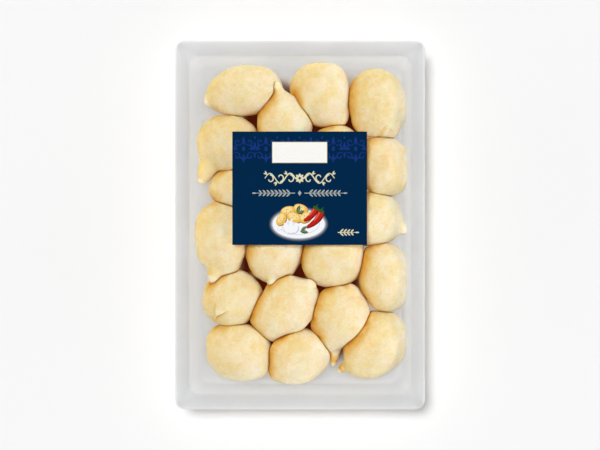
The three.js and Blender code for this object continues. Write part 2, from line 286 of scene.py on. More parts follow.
def gaps_to_others(p, g, blobs):
    """Distances from each point to the free skins of its two nearest
    neighbours."""
    nearest = np.full((2, len(p)), 40.0)
    for o in blobs:
        if o is g:
            continue
        way = p - o.centre
        d = np.linalg.norm(way, axis=1)
        close = np.flatnonzero(d < 42)
        if len(close) == 0:
            continue
        gap = np.full(len(p), 40.0)
        gap[close] = np.maximum(d[close] - radius(o, way[close] / d[close][:, None]), 0)
        nearest[1] = np.minimum(nearest[1], np.maximum(gap, nearest[0]))
        nearest[0] = np.minimum(nearest[0], gap)
    return nearest


def smooth(x):
    x = np.clip(x, 0, 1)
    return x * x * (3 - 2 * x)


blobs = [Blob(i + 1, row) for i, row in enumerate(DUMPLINGS)]
HIDDEN = (10, 21)                      # under the label
spheres = {n: icosphere(n) for n in (((20, 42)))}


def dumpling_mesh(g, material):
    u, triangles = spheres[min(spheres) if g.id in HIDDEN else max(spheres)]
    r, free = pressed_radius(g, u, blobs)
    p = g.centre + u * r[:, None]
    # fingermarks
    move, crease, painted_flap_light = np.zeros(len(u)), np.zeros(len(u)), np.zeros(len(u))
    for az, el, h, w in MARKS.get(g.id, []):
        angle = np.arccos(np.clip(u @ direction(az, el), -1, 1))
        move += h * np.exp(-(angle / math.radians(w)) ** 2)
    for x0, y0, x1, y1, h, w in FOLDS.get(g.id, []):
        a, b = np.array([x0, y0]), np.array([x1, y1])
        t = np.clip(((p[:, :2] - a) @ (b - a)) / ((b - a) @ (b - a)), 0, 1)
        away = np.linalg.norm(p[:, :2] - a - t[:, None] * (b - a), axis=1)
        taper = 0.35 + 0.65 * np.sin(np.clip(t, 0.02, 0.98) * math.pi)
        line = np.where(u[:, 2] > 0.1, taper * np.exp(-(away / w) ** 2), 0)
        move += h * line
        # painted shade: the deeper fold grooves are tinted yellow-tan
        crease = np.maximum(crease, np.clip(-h - 0.35, 0, 0.4) * line)
    for x0, y0, low, high, h, reach in FLAPS.get(g.id, []):
        x, y = p[:, 0] - x0, p[:, 1] - y0
        low, high = math.radians(low), math.radians(high)
        inside = np.minimum(math.cos(low) * y - math.sin(low) * x, math.sin(high) * x - math.cos(high) * y)
        fade = np.where(u[:, 2] > 0.1, 1 - smooth((np.hypot(x, y) - 2.5) / (reach - 2.5)), 0)
        move += fade * (h * smooth((inside + 0.3) / 0.75) - 0.6 * np.exp(-((inside + 0.8) / 0.6) ** 2))
        # painted light and shade: the raised flap is painted paler inside, with painted shade lines along its edges
        painted_flap_light = np.maximum(painted_flap_light, 0.62 * fade * smooth((inside + 0.1) / 0.8))
        crease = np.maximum(crease, fade * (0.75 * np.exp(-((inside + 0.35) / 0.5) ** 2) + 0.40 * np.exp(-((inside + 1.3) / 1.5) ** 2)))
    # soft lumps, then the broken skin of boiled potato dough
    soft = noise3(p / 9.0, g.id) * 0.42 + noise3(p / 4.5, g.id + 40) * 0.24
    fine = noise3(p / 1.9, g.id + 80) * 0.055 + noise3(p / 1.1, g.id + 120) * 0.03
    held = np.clip((free - r) / 1.5, 0, 1)        # less where it is pressed
    move += (soft + fine) * (1 - 0.6 * held)
    move -= np.maximum(move, 0) * held            # never into a neighbour
    p = g.centre + u * (r + move)[:, None]
    p[:, 2] = np.maximum(p[:, 2], FLOOR_Z - 0.2)
    name = "dough_%02d" % g.id
    ob = make_object(name, p, triangles, material)
    normals = np.empty(len(p) * 3, np.float32)
    ob.data.vertices.foreach_get("normal", normals)
    # painted light and shade: how far each point turns to the right-hand lamp, used to paint its sides
    turn = normals.reshape(-1, 3) @ [0.944, -0.330, 0.0]
    point_value(ob, "turn", turn * 0.5 + 0.5)
    # painted shade: dough close to its neighbours, more so on the side turned from the right-hand lamp and low between
    # two, is tinted amber, and the pits between three are painted brown
    first, second = gaps_to_others(p, g, blobs)
    away = smooth((-0.08 - turn) / 0.62)
    below = np.clip((7.5 - (p[:, 2] - g.centre[2])) / 5.0, 0, 1)
    amber = np.clip(1 - first / 8.5, 0, 1) * away
    amber = np.maximum(amber, 0.7 * np.clip(1 - first / 1.1, 0, 1))
    glow = np.clip(1 - second / 10.0, 0, 1) * np.clip(1 - first / 6.0, 0, 1) * below
    amber = np.maximum(amber, 1.25 * glow * (0.40 + 0.60 * away))
    point_value(ob, "pit", np.clip(1 - second / 5.5, 0, 1) * np.clip(1 - first / 3.4, 0, 1) * below)
    # the flap's painted light joins the paler pinch ends
    nub = painted_flap_light
    for (t, h, w, narrow), pale in zip(g.tips, g.pale):
        if pale:
            along = (p - g.centre) @ t
            back = along.max() - along
            beside = np.exp(-(np.arccos(np.clip(u @ t, -1, 1)) / (w * 1.1)) ** 4)
            nub = np.maximum(nub, beside * smooth(1.3 - back / PALE_END.get(g.id, 5.0)))
            # painted shade: amber on the neck behind the pinch
            if g.id in NECK:
                amber = np.maximum(amber, 0.85 * beside * smooth(1.6 - back / NECK[g.id]) * (1 - nub))
    point_value(ob, "nub", nub)
    point_value(ob, "crease", crease)
    point_value(ob, "amber", np.clip(amber, 0, 1))
    point_value(ob, "tone", np.full(len(u), 0.5 + 0.5 * TONES.get(g.id, 0.0)))
    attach(ob, "root")
    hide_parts("gnocco_%02d" % g.id)
    return ob


# -------------------------------------------------------------- materials --
class Nodes:
    """Small helper to write node materials."""

    def __init__(self, name):
        self.material = bpy.data.materials.new(name)
        self.material.use_nodes = True
        self.tree = self.material.node_tree
        self.tree.nodes.clear()
        self.out = self.tree.nodes.new("ShaderNodeOutputMaterial")

    def add(self, kind, **inputs):
        node = self.tree.nodes.new("ShaderNode" + kind)
        for key, value in inputs.items():
            if key[0].islower() and hasattr(node, key):
                setattr(node, key, value)
        return node

    def link(self, a, b):
        self.tree.links.new(a, b)


def object_coordinates(n):
    return n.add("TexCoord").outputs["Object"]


def noise(n, coords, scale, detail=3.0, rough=0.5, distortion=0.0):
    node = n.add("TexNoise")
    node.inputs["Scale"].default_value = scale
    node.inputs["Detail"].default_value = detail
    node.inputs["Roughness"].default_value = rough
    node.inputs["Distortion"].default_value = distortion
    n.link(coords, node.inputs["Vector"])
    return node.outputs["Fac"]


def ramp(n, value, stops, mode="EASE"):
    node = n.add("ValToRGB")
    node.color_ramp.interpolation = mode
    e = node.color_ramp.elements
    while len(e) < len(stops):
        e.new(0.5)
    for i, (at, c) in enumerate(stops):
        e[i].position = at
        e[i].color = (*c, 1) if len(c) == 3 else c
    n.link(value, node.inputs["Fac"])
    return node.outputs["Color"]


def mix(n, fac, a, b, kind="MIX"):
    node = n.add("Mix")
    node.data_type = "RGBA"
    node.blend_type = kind
    node.clamp_factor = True
    if isinstance(fac, (int, float)):
        node.inputs[0].default_value = fac
    else:
        n.link(fac, node.inputs[0])
    for socket, value in ((node.inputs[6], a), (node.inputs[7], b)):
        if isinstance(value, tuple):
            socket.default_value = (*value, 1)
        else:
            n.link(value, socket)
    return node.outputs[2]


def math_node(n, operation, a, b=None, clamp=False):
    node = n.add("Math")
    node.operation = operation
    node.use_clamp = clamp
    for socket, value in ((node.inputs[0], a), (node.inputs[1], b)):
        if value is None:
            continue
        if isinstance(value, (int, float)):
            socket.default_value = value
        else:
            n.link(value, socket)
    return node.outputs[0]


def map_range(n, value, a, b, c, d):
    node = n.add("MapRange")
    for key, v in (("From Min", a), ("From Max", b), ("To Min", c), ("To Max", d)):
        node.inputs[key].default_value = v
    n.link(value, node.inputs["Value"])
    return node.outputs["Result"]


def bump(n, height, strength, distance):
    node = n.add("Bump")
    node.inputs["Strength"].default_value = strength
    node.inputs["Distance"].default_value = distance
    n.link(height, node.inputs["Height"])
    return node.outputs["Normal"]


def dough_material():
    n = Nodes("dough")
    co = object_coordinates(n)
    # broad patches of paler flour and yellower dough
    broad = ramp(n, noise(n, co, 75, 3, 0.55), [(0.34, (0.0, 0.0, 0.0)), (0.66, (1.0, 1.0, 1.0))])
    base = mix(n, broad, (0.890, 0.770, 0.475), (0.915, 0.845, 0.690))
    patch = ramp(n, noise(n, co, 200, 4, 0.6), [(0.42, (0.0, 0.0, 0.0)), (0.64, (1.0, 1.0, 1.0))])
    base = mix(n, math_node(n, "MULTIPLY", patch, 0.50), base, (0.945, 0.905, 0.850))
    blush = ramp(n, noise(n, co, 330, 3, 0.6, 0.4), [(0.50, (0.0, 0.0, 0.0)), (0.70, (1.0, 1.0, 1.0))])
    base = mix(n, math_node(n, "MULTIPLY", blush, 0.52), base, (0.880, 0.710, 0.380))
    # fine specks of potato flour
    speck = ramp(n, noise(n, co, 1300, 2, 0.6), [(0.40, (0.90, 0.87, 0.78)), (0.62, (1.0, 1.0, 1.0))])
    base = mix(n, 0.45, base, speck, "MULTIPLY")

    def value(name):
        node = n.add("Attribute")
        node.attribute_name = name
        return node.outputs["Fac"]

    # each dumpling a little paler or yellower than the next
    tone = ramp(n, value("tone"), [(0.0, (0.970, 0.930, 0.800)), (0.5, (0.985, 0.970, 0.920)), (1.0, (1.0, 1.0, 1.0))], "LINEAR")
    base = mix(n, 1.0, base, tone, "MULTIPLY")
    # painted light and shade: paler on the side turned to the right-hand lamp, yellower round to the side turned away
    # from it
    sides = ramp(n, value("turn"), [(0.0, (0.930, 0.790, 0.470)), (0.25, (0.940, 0.860, 0.640)), (0.50, (0.960, 0.935, 0.840)),
                                    (0.72, (1.0, 1.0, 0.985)), (1.0, (1.0, 1.0, 1.0))], "LINEAR")
    base = mix(n, 1.0, base, sides, "MULTIPLY")
    # painted shade in the creases under folds and along the flap's edges
    base = mix(n, value("crease"), base, (0.800, 0.560, 0.180))
    # painted shade: saturated amber where dumplings crowd together, unevenly, and painted dark brown shade in the pits
    uneven = map_range(n, noise(n, co, 160, 3, 0.6), 0.35, 0.65, 0.78, 1.12)
    amber = math_node(n, "MULTIPLY", value("amber"), uneven, clamp=True)
    painted_crevice_shade = ramp(n, amber, [(0.0, (1.0, 1.0, 1.0)), (0.30, (0.940, 0.840, 0.640)), (0.65, (0.860, 0.620, 0.270)), (1.0, (0.760, 0.330, 0.040))], "LINEAR")
    base = mix(n, 1.0, base, painted_crevice_shade, "MULTIPLY")
    dark = ramp(n, value("pit"), [(0.25, (0.0, 0.0, 0.0)), (0.75, (0.95, 0.95, 0.95))])
    base = mix(n, dark, base, (0.240, 0.045, 0.008))
    # paler ends of the pinches, and painted light on the raised flap
    tip = ramp(n, value("nub"), [(0.15, (0.0, 0.0, 0.0)), (0.80, (1.0, 1.0, 1.0))])
    base = mix(n, math_node(n, "MULTIPLY", tip, 0.65), base, (0.935, 0.880, 0.690))
    p = n.add("BsdfPrincipled")
    n.link(base, p.inputs["Base Color"])
    rough = map_range(n, noise(n, co, 900, 3), 0.3, 0.7, 0.70, 0.88)
    n.link(rough, p.inputs["Roughness"])
    n.link(map_range(n, amber, 0.0, 0.6, 0.25, 0.02), p.inputs["Specular IOR Level"])
    p.inputs["Subsurface Weight"].default_value = 0.80
    p.inputs["Subsurface Radius"].default_value = (1.0, 0.55, 0.25)
    p.inputs["Subsurface Scale"].default_value = 0.0040
    height = math_node(n, "ADD", math_node(n, "MULTIPLY", noise(n, co, 1400, 3, 0.6), 0.6), noise(n, co, 520, 3, 0.6))
    n.link(bump(n, height, 0.35, 0.00035), p.inputs["Normal"])
    n.link(p.outputs[0], n.out.inputs["Surface"])
    return n.material


def tray_material():
    """Natural polypropylene: milky, mostly let through, with a satin gloss."""
    n = Nodes("milky_plastic")
    co = object_coordinates(n)
    # drawing thins the walls, which let more light through than the flange
    thin = n.add("Attribute")
    thin.attribute_name = "thin"
    base = mix(n, thin.outputs["Fac"], (0.858, 0.861, 0.867), (0.956, 0.962, 0.971))
    # painted light: whiter along the outer edge and in the bend of the floor
    painted_edge_light = n.add("Attribute")
    painted_edge_light.attribute_name = "painted_edge_light"
    base = mix(n, painted_edge_light.outputs["Fac"], base, (0.985, 0.987, 0.990))
    cloud = ramp(n, noise(n, co, 28, 3, 0.5), [(0.35, (0.978, 0.978, 0.978)), (0.65, (1.0, 1.0, 1.0))])
    base = mix(n, 1.0, base, cloud, "MULTIPLY")
    base = mix(n, 0.6, base, ramp(n, noise(n, co, 260, 2), [(0.35, (0.985, 0.985, 0.985)), (0.65, (1.0, 1.0, 1.0))]), "MULTIPLY")
    # painted shade: the floor takes a warm shade against the dumplings, brown in the slots between two and almost black
    # in the pits between three
    held = n.add("Attribute")
    held.attribute_name = "painted_contact_shade"
    base = mix(n, math_node(n, "MULTIPLY", held.outputs["Fac"], 0.60), base, (0.800, 0.700, 0.560))
    held = n.add("Attribute")
    held.attribute_name = "beside"
    base = mix(n, held.outputs["Fac"], base, (0.520, 0.300, 0.110))
    held = n.add("Attribute")
    held.attribute_name = "enclosed"
    base = mix(n, held.outputs["Fac"], base, (0.110, 0.012, 0.003))
    body = n.add("BsdfDiffuse")
    n.link(base, body.inputs["Color"])
    through = n.add("BsdfTranslucent")
    n.link(base, through.inputs["Color"])
    milk = n.add("MixShader")
    n.link(map_range(n, thin.outputs["Fac"], 0.0, 1.0, 0.58, 0.92), milk.inputs[0])
    n.link(body.outputs[0], milk.inputs[1])
    n.link(through.outputs[0], milk.inputs[2])
    gloss = n.add("BsdfGlossy")
    # painted shade: the gloss darkens in the pits between three dumplings
    n.link(mix(n, held.outputs["Fac"], (0.95, 0.95, 0.95), (0.16, 0.02, 0.01)), gloss.inputs["Color"])
    n.link(map_range(n, noise(n, co, 90, 3), 0.3, 0.7, 0.40, 0.50), gloss.inputs["Roughness"])
    # reflects more at a glancing angle, the same from inside the wall
    weight = n.add("LayerWeight")
    weight.inputs["Blend"].default_value = 0.5
    glance = math_node(n, "POWER", weight.outputs["Facing"], 6.0)
    glance = math_node(n, "MULTIPLY_ADD", glance, 0.20)
    glance.node.inputs[2].default_value = 0.03
    blend = n.add("MixShader")
    n.link(glance, blend.inputs[0])
    n.link(milk.outputs[0], blend.inputs[1])
    n.link(gloss.outputs[0], blend.inputs[2])
    n.link(blend.outputs[0], n.out.inputs["Surface"])
    return n.material


def film_material():
    n = Nodes("clear_film")
    co = object_coordinates(n)
    clear = n.add("BsdfTransparent")
    gloss = n.add("BsdfGlossy")
    gloss.inputs["Roughness"].default_value = 0.05
    stretch = n.add("Mapping")
    stretch.inputs["Scale"].default_value = (1.0, 0.35, 1.0)
    n.link(co, stretch.inputs["Vector"])
    height = noise(n, stretch.outputs[0], 45, 2)
    normal = bump(n, height, 0.25, 0.0015)
    n.link(normal, gloss.inputs["Normal"])
    fresnel = n.add("Fresnel")
    fresnel.inputs["IOR"].default_value = 1.12
    blend = n.add("MixShader")
    n.link(fresnel.outputs[0], blend.inputs[0])
    n.link(clear.outputs[0], blend.inputs[1])
    n.link(gloss.outputs[0], blend.inputs[2])
    n.link(blend.outputs[0], n.out.inputs["Surface"])
    return n.material


def label_material():
    n = Nodes("printed_paper")
    co = object_coordinates(n)
    ink = n.add("Attribute")
    ink.attribute_name = "ink"
    mottle = ramp(n, noise(n, co, 900, 3), [(0.3, (0.93, 0.93, 0.93)), (0.7, (1.0, 1.0, 1.0))])
    base = mix(n, 0.6, ink.outputs["Color"], mottle, "MULTIPLY")
    p = n.add("BsdfPrincipled")
    n.link(base, p.inputs["Base Color"])
    n.link(map_range(n, noise(n, co, 500, 3), 0.3, 0.7, 0.42, 0.55), p.inputs["Roughness"])
    p.inputs["Specular IOR Level"].default_value = 0.05
    n.link(bump(n, noise(n, co, 1800, 3), 0.08, 0.0003), p.inputs["Normal"])
    n.link(p.outputs[0], n.out.inputs["Surface"])
    return n.material


def floor_material():
    n = Nodes("studio_floor")
    co = object_coordinates(n)
    p = n.add("BsdfPrincipled")
    base = ramp(n, noise(n, co, 3, 2), [(0.3, (0.930, 0.930, 0.930)), (0.7, (0.940, 0.940, 0.940))])
    n.link(base, p.inputs["Base Color"])
    p.inputs["Roughness"].default_value = 0.9
    p.inputs["Specular IOR Level"].default_value = 0.1
    n.link(p.outputs[0], n.out.inputs["Surface"])
    return n.material


def pad_material():
    n = Nodes("light_pad")
    glow = n.add("Emission")
    glow.inputs["Color"].default_value = (1.0, 1.0, 1.0, 1)
    glow.inputs["Strength"].default_value = 0.69
    # it fades out round the tray's foot and lights only upwards
    fade = n.add("Attribute")
    fade.attribute_name = "fade"
    upper = math_node(n, "SUBTRACT", 1.0, n.add("NewGeometry").outputs["Backfacing"])
    blend = n.add("MixShader")
    n.link(math_node(n, "MULTIPLY", fade.outputs["Fac"], upper), blend.inputs[0])
    n.link(n.add("BsdfTransparent").outputs[0], blend.inputs[1])
    n.link(glow.outputs[0], blend.inputs[2])
    n.link(blend.outputs[0], n.out.inputs["Surface"])
    return n.material


# ------------------------------------------------------------------- tray --
def ring(hx, hy, r, z, segs):
    q = np.repeat(np.arange(4), segs + 1)
    a = (q + np.tile(np.arange(segs + 1) / segs, 4)) * math.pi / 2
    sx = np.where((q == 0) | (q == 3), 1, -1)
    sy = np.where(q < 2, 1, -1)
    return np.stack([sx * (hx - r) + r * np.cos(a), sy * (hy - r) + r * np.sin(a), np.full(len(a), z)], 1)


def subdivide_ring(points, across, segs):
    """Adds points along the straight sides, so that long faces can bend."""
    out = []
    for i in range(len(points)):
        a, b = points[i], points[(i + 1) % len(points)]
        steps = across if i % (segs + 1) == segs else 1
        for k in range(steps):
            out.append(a + (b - a) * k / steps)
    return np.array(out)


def lerp(a, b, t):
    return a + (b - a) * t


def wall_ring(z, d, at=None, segs=12):
    down = TRAY_H - z
    r = lerp(OPEN_CORNER, BASE_CORNER, down / TRAY_H)
    return subdivide_ring(ring(OPEN_W / 2 - down * DRAFT + d, OPEN_L / 2 - down * DRAFT + d, max(r + d, 1.5), z if at is None else at, segs), 24, segs)


def rim_ring(e, z, segs=12):
    return subdivide_ring(ring(TRAY_W / 2 - e, TRAY_L / 2 - e, max(FLANGE_CORNER - e, 1.5), z, segs), 24, segs)


def tray_rings():
    rings, n = [], 8
    for i in range(n + 1):
        a = i / n * math.pi / 2
        R = FLOOR_R + WALL
        z = R * (1 - math.cos(a))
        rings.append(wall_ring(R, WALL - R * (1 - math.sin(a)) - (R - z) * DRAFT * 0.4, z))
    for k in range(1, 6):
        rings.append(wall_ring(lerp(FLOOR_R + WALL, TRAY_H - WALL - 1.0, k / 5), WALL))
    rings.append(wall_ring(TRAY_H, WALL + 0.35, TRAY_H - WALL - 0.35))
    rings.append(wall_ring(TRAY_H, WALL + 0.9, TRAY_H - WALL))
    rings.append(rim_ring(RIM_R + 0.3, TRAY_H - WALL))
    rings.append(rim_ring(WALL + 0.2, TRAY_H - WALL - 0.2))
    rings.append(rim_ring(WALL, TRAY_H - WALL - 0.6))
    rings.append(rim_ring(WALL, TRAY_H - LIP_H + 0.1))
    rings.append(rim_ring(WALL - 0.1, TRAY_H - LIP_H))
    rings.append(rim_ring(0.1, TRAY_H - LIP_H))
    rings.append(rim_ring(0, TRAY_H - LIP_H + 0.1))
    for i in range(n + 1):
        a = i / n * math.pi / 2
        rings.append(rim_ring(RIM_R * (1 - math.cos(a)), TRAY_H - RIM_R * (1 - math.sin(a))))
    for i in range(n + 1):
        a = i / n * math.pi / 2
        rings.append(wall_ring(TRAY_H, EDGE_R * (1 - math.sin(a)), TRAY_H - EDGE_R * (1 - math.cos(a))))
    for k in range(1, 6):
        rings.append(wall_ring(lerp(TRAY_H - EDGE_R, FLOOR_R + WALL, k / 6), 0))
    for i in range(n + 1):
        a = i / n * math.pi / 2
        z = WALL + FLOOR_R * (1 - math.sin(a))
        rings.append(wall_ring(WALL + FLOOR_R, -FLOOR_R * (1 - math.cos(a)) - (WALL + FLOOR_R - z) * DRAFT * 0.4, z))
    return rings


def loft(rings, caps=True):
    n = len(rings[0])
    verts = np.concatenate(rings)
    faces = []
    for k in range(len(rings) - 1):
        for i in range(n):
            j = (i + 1) % n
            faces.append((k * n + i, k * n + j, (k + 1) * n + j, (k + 1) * n + i))
    if caps:
        faces.append(tuple(range(n - 1, -1, -1)))
        last = (len(rings) - 1) * n
        faces.append(tuple(last + i for i in range(n)))
    return verts, faces


def enclosed(p):
    """How closely dumplings surround a point: 1 against one, 1 in a slot
    between two, and 1 in a pit between three."""
    gaps = []
    for o in blobs:
        way = p - o.centre
        d = np.linalg.norm(way, axis=1)
        gaps.append(d - radius(o, way / np.maximum(d, 1e-6)[:, None]))
    first, second, third = np.sort(np.array(gaps), axis=0)[:3]
    one = np.exp(-np.maximum(first, 0) / 3.2)
    two, three = np.clip((7.0 - second) / 4.0, 0, 1), np.clip((12.0 - third) / 5.0, 0, 1)
    return one, two * two * (3 - 2 * two), three * three * (3 - 2 * three)


def build_tray(material):
    rings = tray_rings()
    verts, faces = loft(rings, caps=False)
    n = len(rings[0])
    faces.append(tuple(range(n - 1, -1, -1)))
    # the floor inside, divided finely within the last ring
    last = (len(rings) - 1) * n
    edge = [Vector((float(x), float(y))) for x, y, _ in rings[-1]]
    step = 2.0
    hx, hy = rings[-1][:, 0].max(), rings[-1][:, 1].max()
    inner = [Vector((float(x), float(y))) for x in np.arange(-hx + step / 2, hx - step / 3, step)
             for y in np.arange(-hy + step / 2, hy - step / 3, step)
             if math.hypot(max(abs(x) - hx + 9, 0), max(abs(y) - hy + 9, 0)) < 8]
    flat, _, tris, origins, _, _ = delaunay_2d_cdt(edge + inner, [], [list(range(n))], 1, 1e-5, True)
    index = {}
    for i, (v, o) in enumerate(zip(flat, origins)):
        if o and o[0] < n:
            index[i] = last + o[0]
        else:
            index[i] = len(verts)
            verts = np.vstack([verts, [v.x, v.y, WALL]])
    faces.extend(tuple(index[i] for i in t) for t in tris)
    ob = make_object("tray_moulded", verts, faces, material)
    inside = (np.abs(verts[:, 0]) < OPEN_W / 2 - 2) & (np.abs(verts[:, 1]) < OPEN_L / 2 - 2) & (verts[:, 2] > WALL - 0.01)
    probe = np.column_stack([verts[:, :2], np.maximum(verts[:, 2], 12.0)])
    one, two, three = enclosed(probe)
    # the painted shade in the gaps fades out close to the walls, where light comes in through them
    side = smooth((OPEN_W / 2 - np.abs(verts[:, 0]) - 24) / 8)
    end = np.minimum(smooth((OPEN_L / 2 - verts[:, 1] - 2) / 22), smooth((OPEN_L / 2 + verts[:, 1] - 10) / 16))
    two, three = two * (0.12 + 0.80 * side * end), three * side * end
    # painted shade against the dumplings: only low on the floor, fading out towards the right-hand wall
    one = one * smooth((1.8 - verts[:, 2]) / 1.0) * (1 - 0.85 * smooth((verts[:, 0] - 40) / 14))
    point_value(ob, "painted_contact_shade", np.where(inside, one, 0.0))
    point_value(ob, "beside", np.where(inside, two, 0.0))
    point_value(ob, "enclosed", np.where(inside, three, 0.0))
    # in from the flange's inner edge to the bend of the floor, and out over the rolled edge
    inwards = np.maximum(np.abs(verts[:, 0]) - OPEN_W / 2, np.abs(verts[:, 1]) - OPEN_L / 2)
    outwards = np.minimum(TRAY_W / 2 - np.abs(verts[:, 0]), TRAY_L / 2 - np.abs(verts[:, 1]))
    point_value(ob, "thin", np.clip((2.6 - inwards) / 2.6, 0, 1))
    # painted light: the outer 2 mm of the rolled edge is painted whiter as a highlight line, and the bend of the floor
    # is painted whiter to lighten its shaded valley
    bend = np.exp(-((inwards + 4.4) / 2.8) ** 4)
    point_value(ob, "painted_edge_light", np.maximum(np.clip((2.0 - outwards) / 0.9, 0, 1), bend))
    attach(ob, "root")
    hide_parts("tray")
    return ob


# ------------------------------------------------------------------- film --
def build_film(material):
    """A taut sheet, sealed on the flange, with faint pulls towards the seal."""
    hx, hy = TRAY_W / 2 - FILM_IN, TRAY_L / 2 - FILM_IN
    rings = []
    count = 40
    for k in range(count, 0, -1):
        s = k / count
        rings.append(subdivide_ring(ring(hx * s, hy * s, max(FILM_CORNER * s, 0.05), 0.0, 8), 20, 8))
    n = len(rings[0])
    verts = np.concatenate(rings)
    x, y = verts[:, 0], verts[:, 1]
    edge = np.minimum(OPEN_W / 2 - np.abs(x), OPEN_L / 2 - np.abs(y))
    free = np.clip(edge / 18, 0, 1)
    wave = noise3(np.stack([x / 34, y / 26, 0 * x], 1), 5) * 0.30 + noise3(np.stack([x / 13, y / 17, 0 * x], 1), 9) * 0.10
    verts[:, 2] = TRAY_H + 0.12 + free * (wave - 0.10)
    faces = []
    for k in range(count - 1):
        for i in range(n):
            j = (i + 1) % n
            faces.append((k * n + i, k * n + j, (k + 1) * n + j, (k + 1) * n + i))
    last = (count - 1) * n
    faces.append(tuple(last + i for i in range(n)))
    ob = make_object("film_sheet", verts, faces, material)
    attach(ob, "root")
    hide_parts("film")
    return ob


# ------------------------------------------------------------------ label --
NAVY = (0.0004, 0.0205, 0.0660)
BLUE = (0.0095, 0.0340, 0.1950)
CREAM = (0.960, 0.945, 0.900)
GOLD = (0.52, 0.46, 0.24)
PALE_GOLD = (0.72, 0.70, 0.48)
SILVER = (0.40, 0.44, 0.42)
WHITE = (0.92, 0.93, 0.96)
MILK = (0.74, 0.77, 0.82)
SHADE = (0.48, 0.51, 0.58)
RED = (0.52, 0.017, 0.012)
DEEP_RED = (0.25, 0.007, 0.007)
LIGHT_RED = (0.76, 0.12, 0.07)
GREEN = (0.030, 0.100, 0.018)
SAGE = (0.160, 0.240, 0.110)
YELLOW = (0.84, 0.51, 0.11)
PALE_YELLOW = (0.95, 0.72, 0.30)
BROWN = (0.40, 0.150, 0.020)


def disc(cx, cy, rx, ry, rot=0.0, n=28, wobble=0.0):
    a = np.arange(n) / n * 2 * math.pi
    k = 1 + wobble * np.sin(3 * a + 1)
    x, y = rx * np.cos(a) * k, ry * np.sin(a) * k
    c, s = math.cos(math.radians(rot)), math.sin(math.radians(rot))
    return np.stack([cx + x * c - y * s, cy + x * s + y * c], 1)


def rect(x0, y0, x1, y1):
    return np.array([(x0, y0), (x1, y0), (x1, y1), (x0, y1)], float)


def ribbon(path, widths):
    """Closed outline of a stroke of varying width along a path."""
    path = np.array(path)
    d = np.gradient(path, axis=0)
    d /= np.maximum(np.linalg.norm(d, axis=1), 1e-9)[:, None]
    side = np.stack([-d[:, 1], d[:, 0]], 1) * (np.asarray(widths) / 2)[:, None]
    return np.concatenate([path + side, (path - side)[::-1]])


def scroll(cx, cy, size, turn, start, mirror, n=26):
    """A C-scroll: a spiral that opens from its eye."""
    t = np.linspace(0, 1, n)
    a = math.radians(start) + t * turn * 2 * math.pi
    r = size * (0.16 + 0.84 * t ** 1.25)
    x, y = r * np.cos(a), r * np.sin(a)
    if mirror:
        x = -x
    return ribbon(np.stack([cx + x, cy + y], 1), size * (0.10 + 0.20 * np.sin(t * math.pi) ** 0.8))


def leaf(cx, cy, length, width, rot, n=10):
    t = np.linspace(0, 1, n)
    x = np.concatenate([t * length, (t[::-1] * length)[1:-1]])
    y = np.concatenate([np.sin(t * math.pi) ** 0.8 * width / 2, -(np.sin(t[::-1] * math.pi) ** 0.8 * width / 2)[1:-1]])
    c, s = math.cos(math.radians(rot)), math.sin(math.radians(rot))
    return np.stack([cx + x * c - y * s, cy + x * s + y * c], 1)


def blend_colour(a, b, t):
    return tuple(x + (y - x) * t for x, y in zip(a, b))


def rosette(cx, cy, r, n=6):
    return [leaf(cx, cy, r, r * 0.52, 90 + 360 / n * k, n=7) for k in range(n)]


def sprig(x, y, sgn, length, size, count):
    """A stem along x with pairs of narrow leaves, its tip outwards."""
    out = [ribbon(np.stack([x + sgn * np.linspace(0, length, 8), y + np.zeros(8)], 1), np.linspace(0.50, 0.30, 8))]
    for k in range(count):
        at = length * (0.12 + 0.80 * k / count)
        for side in (1, -1):
            angle = side * 42
            out.append(leaf(x + sgn * at, y + side * 0.15, size * (1 - 0.25 * k / count), size * 0.30, angle if sgn > 0 else 180 - angle, n=9))
    out.append(leaf(x + sgn * length * 0.95, y, size * 0.9, size * 0.30, 0 if sgn > 0 else 180, n=9))
    return out


def vine(x, y, sgn, waves, pitch, high):
    """A running vine: a waved stem with a curl and a leaf in every bend."""
    t = np.linspace(0, waves * math.pi, 20 * waves)
    out = [ribbon(np.stack([x + sgn * t / math.pi * pitch, y + high * np.sin(t)], 1), np.linspace(0.85, 0.50, len(t)))]
    for k in range(waves):
        up = 1 if k % 2 == 0 else -1
        cx, cy = x + sgn * (k + 0.5) * pitch, y - up * high * 0.18
        a = np.linspace(0, 1, 18)
        turned = math.pi / 2 + a * 1.45 * math.pi
        r = high * 0.92 * (1 - 0.72 * a)
        out.append(ribbon(np.stack([cx + sgn * r * np.cos(turned) * 0.95, cy + up * (r * np.sin(turned))], 1), 0.80 - 0.20 * a))
        for rot, size in ((62, 2.5), (22, 2.2)):
            out.append(leaf(cx + sgn * pitch * 0.30, cy + up * high * 0.95, size, size * 0.36, up * rot if sgn > 0 else 180 - up * rot, n=9))
    return out


